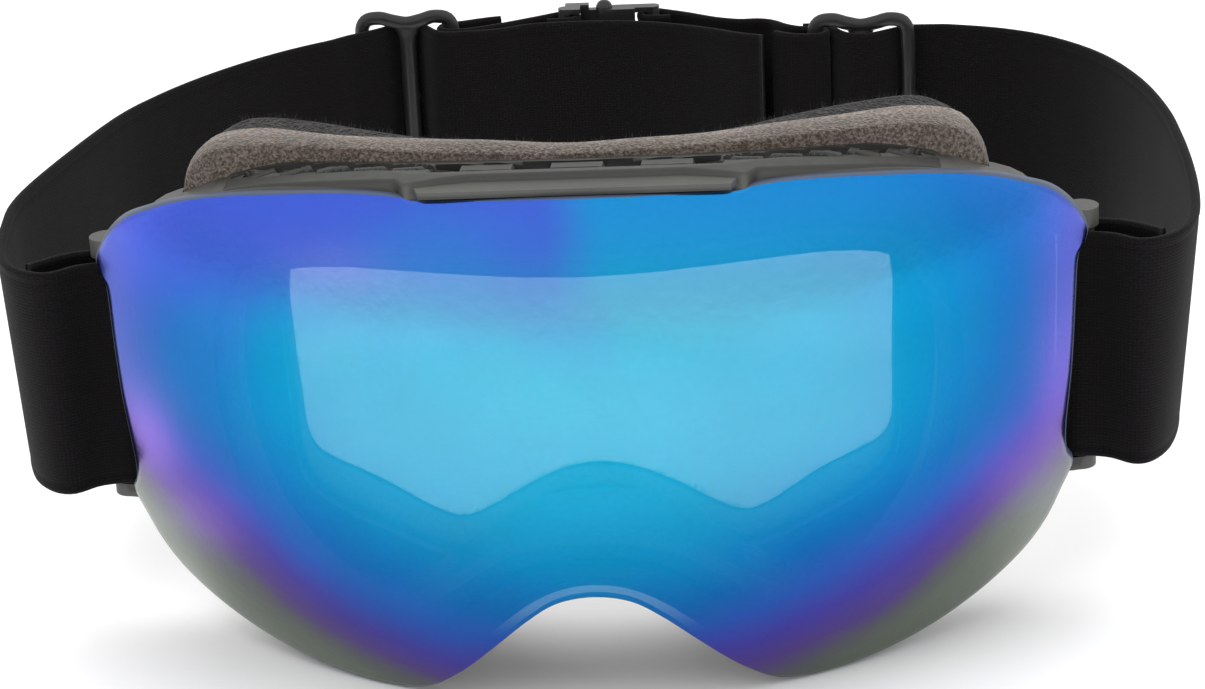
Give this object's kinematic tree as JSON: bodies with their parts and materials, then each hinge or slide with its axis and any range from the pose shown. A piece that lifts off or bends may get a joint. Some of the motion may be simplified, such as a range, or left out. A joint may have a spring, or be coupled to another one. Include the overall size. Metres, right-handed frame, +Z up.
{
  "type": "ski goggles",
  "caption": "Frameless ski goggles with a spherical mirror lens on magnets, vented soft frame, layered face foam, hinged strap arms and an adjustable elastic strap with a rear hook clasp.",
  "frame": {"origin": "middle of the footprint (width and depth) at the height of the lens's lowest point", "axes": "+X to the right seen from in front of the lens, -Y is the way the lens faces, +Z up"},
  "size_m": [0.2315, 0.2125, 0.1033],
  "materials": {
    "mirror_lens": "blue multilayer mirror coat on polycarbonate",
    "clear_lens": "clear anti-fog coated",
    "lens_ring": "moulded black, fine texture",
    "spacer_foam": "closed-cell foam, matte",
    "frame_plastic": "soft moulded plastic, satin",
    "vent_foam": "open-cell foam, matte",
    "dense_foam": "dense foam, matte",
    "face_foam": "open-cell foam, speckled",
    "fleece": "brushed fleece",
    "webbing": "knitted elastic, matte",
    "slider_plastic": "moulded, semi-gloss",
    "magnet": "nickel plated",
    "pin_steel": "drawn steel"
  },
  "bodies": {
    "frame": {"frame": "frame_plastic", "frame_magnets": "magnet", "top_vent_foam": "vent_foam", "bottom_vent_foam": "vent_foam", "foam_base": "dense_foam", "face_foam": "face_foam", "foam_lining": "fleece", "left_hinge_pin": "pin_steel", "right_hinge_pin": "pin_steel"},
    "lens": {"outer_lens": "mirror_lens", "lens_carrier": "lens_ring", "lens_magnets": "magnet", "lens_spacer": "spacer_foam", "inner_lens": "clear_lens"},
    "left_arm": {"left_arm": "frame_plastic"},
    "right_arm": {"right_arm": "frame_plastic"},
    "left_strap": {"left_side_strap": "webbing", "left_strap_tail": "webbing", "left_rear_strap": "webbing"},
    "right_strap": {"right_side_strap": "webbing", "right_strap_tail": "webbing", "right_rear_strap": "webbing", "clasp_bar": "slider_plastic"},
    "left_slider": {"left_slider": "slider_plastic"},
    "right_slider": {"right_slider": "slider_plastic"},
    "clasp_hook": {"clasp_hook": "slider_plastic"}
  },
  "joints": [
    {"name": "lens_release", "type": "slide", "parent": "frame", "child": "lens", "axis": [0, -1, 0], "range_m": [0, 0.06]},
    {"name": "left_arm_swing", "type": "hinge", "parent": "frame", "child": "left_arm", "pos_m": [-0.0775, -0.05175, 0.0525], "axis": [0, 0, -1], "range_deg": [0, 15]},
    {"name": "right_arm_swing", "type": "hinge", "parent": "frame", "child": "right_arm", "pos_m": [0.0775, -0.05175, 0.0525], "axis": [0, 0, 1], "range_deg": [0, 15]},
    {"name": "left_strap_swing", "type": "hinge", "parent": "left_arm", "child": "left_strap", "pos_m": [-0.0905, -0.04675, 0.052], "axis": [0, 0, 1], "range_deg": [0, 15]},
    {"name": "right_strap_swing", "type": "hinge", "parent": "right_arm", "child": "right_strap", "pos_m": [0.0905, -0.04675, 0.052], "axis": [0, 0, -1], "range_deg": [0, 15]},
    {"name": "left_slide", "type": "slide", "parent": "left_strap", "child": "left_slider", "axis": [-1, 0, 0], "range_m": [0, 0.008], "deforming": ["left_rear_strap", "left_strap_tail"]},
    {"name": "right_slide", "type": "slide", "parent": "right_strap", "child": "right_slider", "axis": [0.9976, -0.0698, 0], "range_m": [0, 0.008], "deforming": ["right_rear_strap", "right_strap_tail"]},
    {"name": "clasp_open", "type": "hinge", "parent": "left_strap", "child": "clasp_hook", "pos_m": [-0.011, 0.10225, 0.052], "axis": [0, 0, 1], "range_deg": [0, 50]}
  ],
  "couplings": [
    {"joint": "right_arm_swing", "follows": "left_arm_swing", "ratio": 1},
    {"joint": "left_strap_swing", "follows": "left_arm_swing", "ratio": 1},
    {"joint": "right_strap_swing", "follows": "left_arm_swing", "ratio": 1}
  ]
}
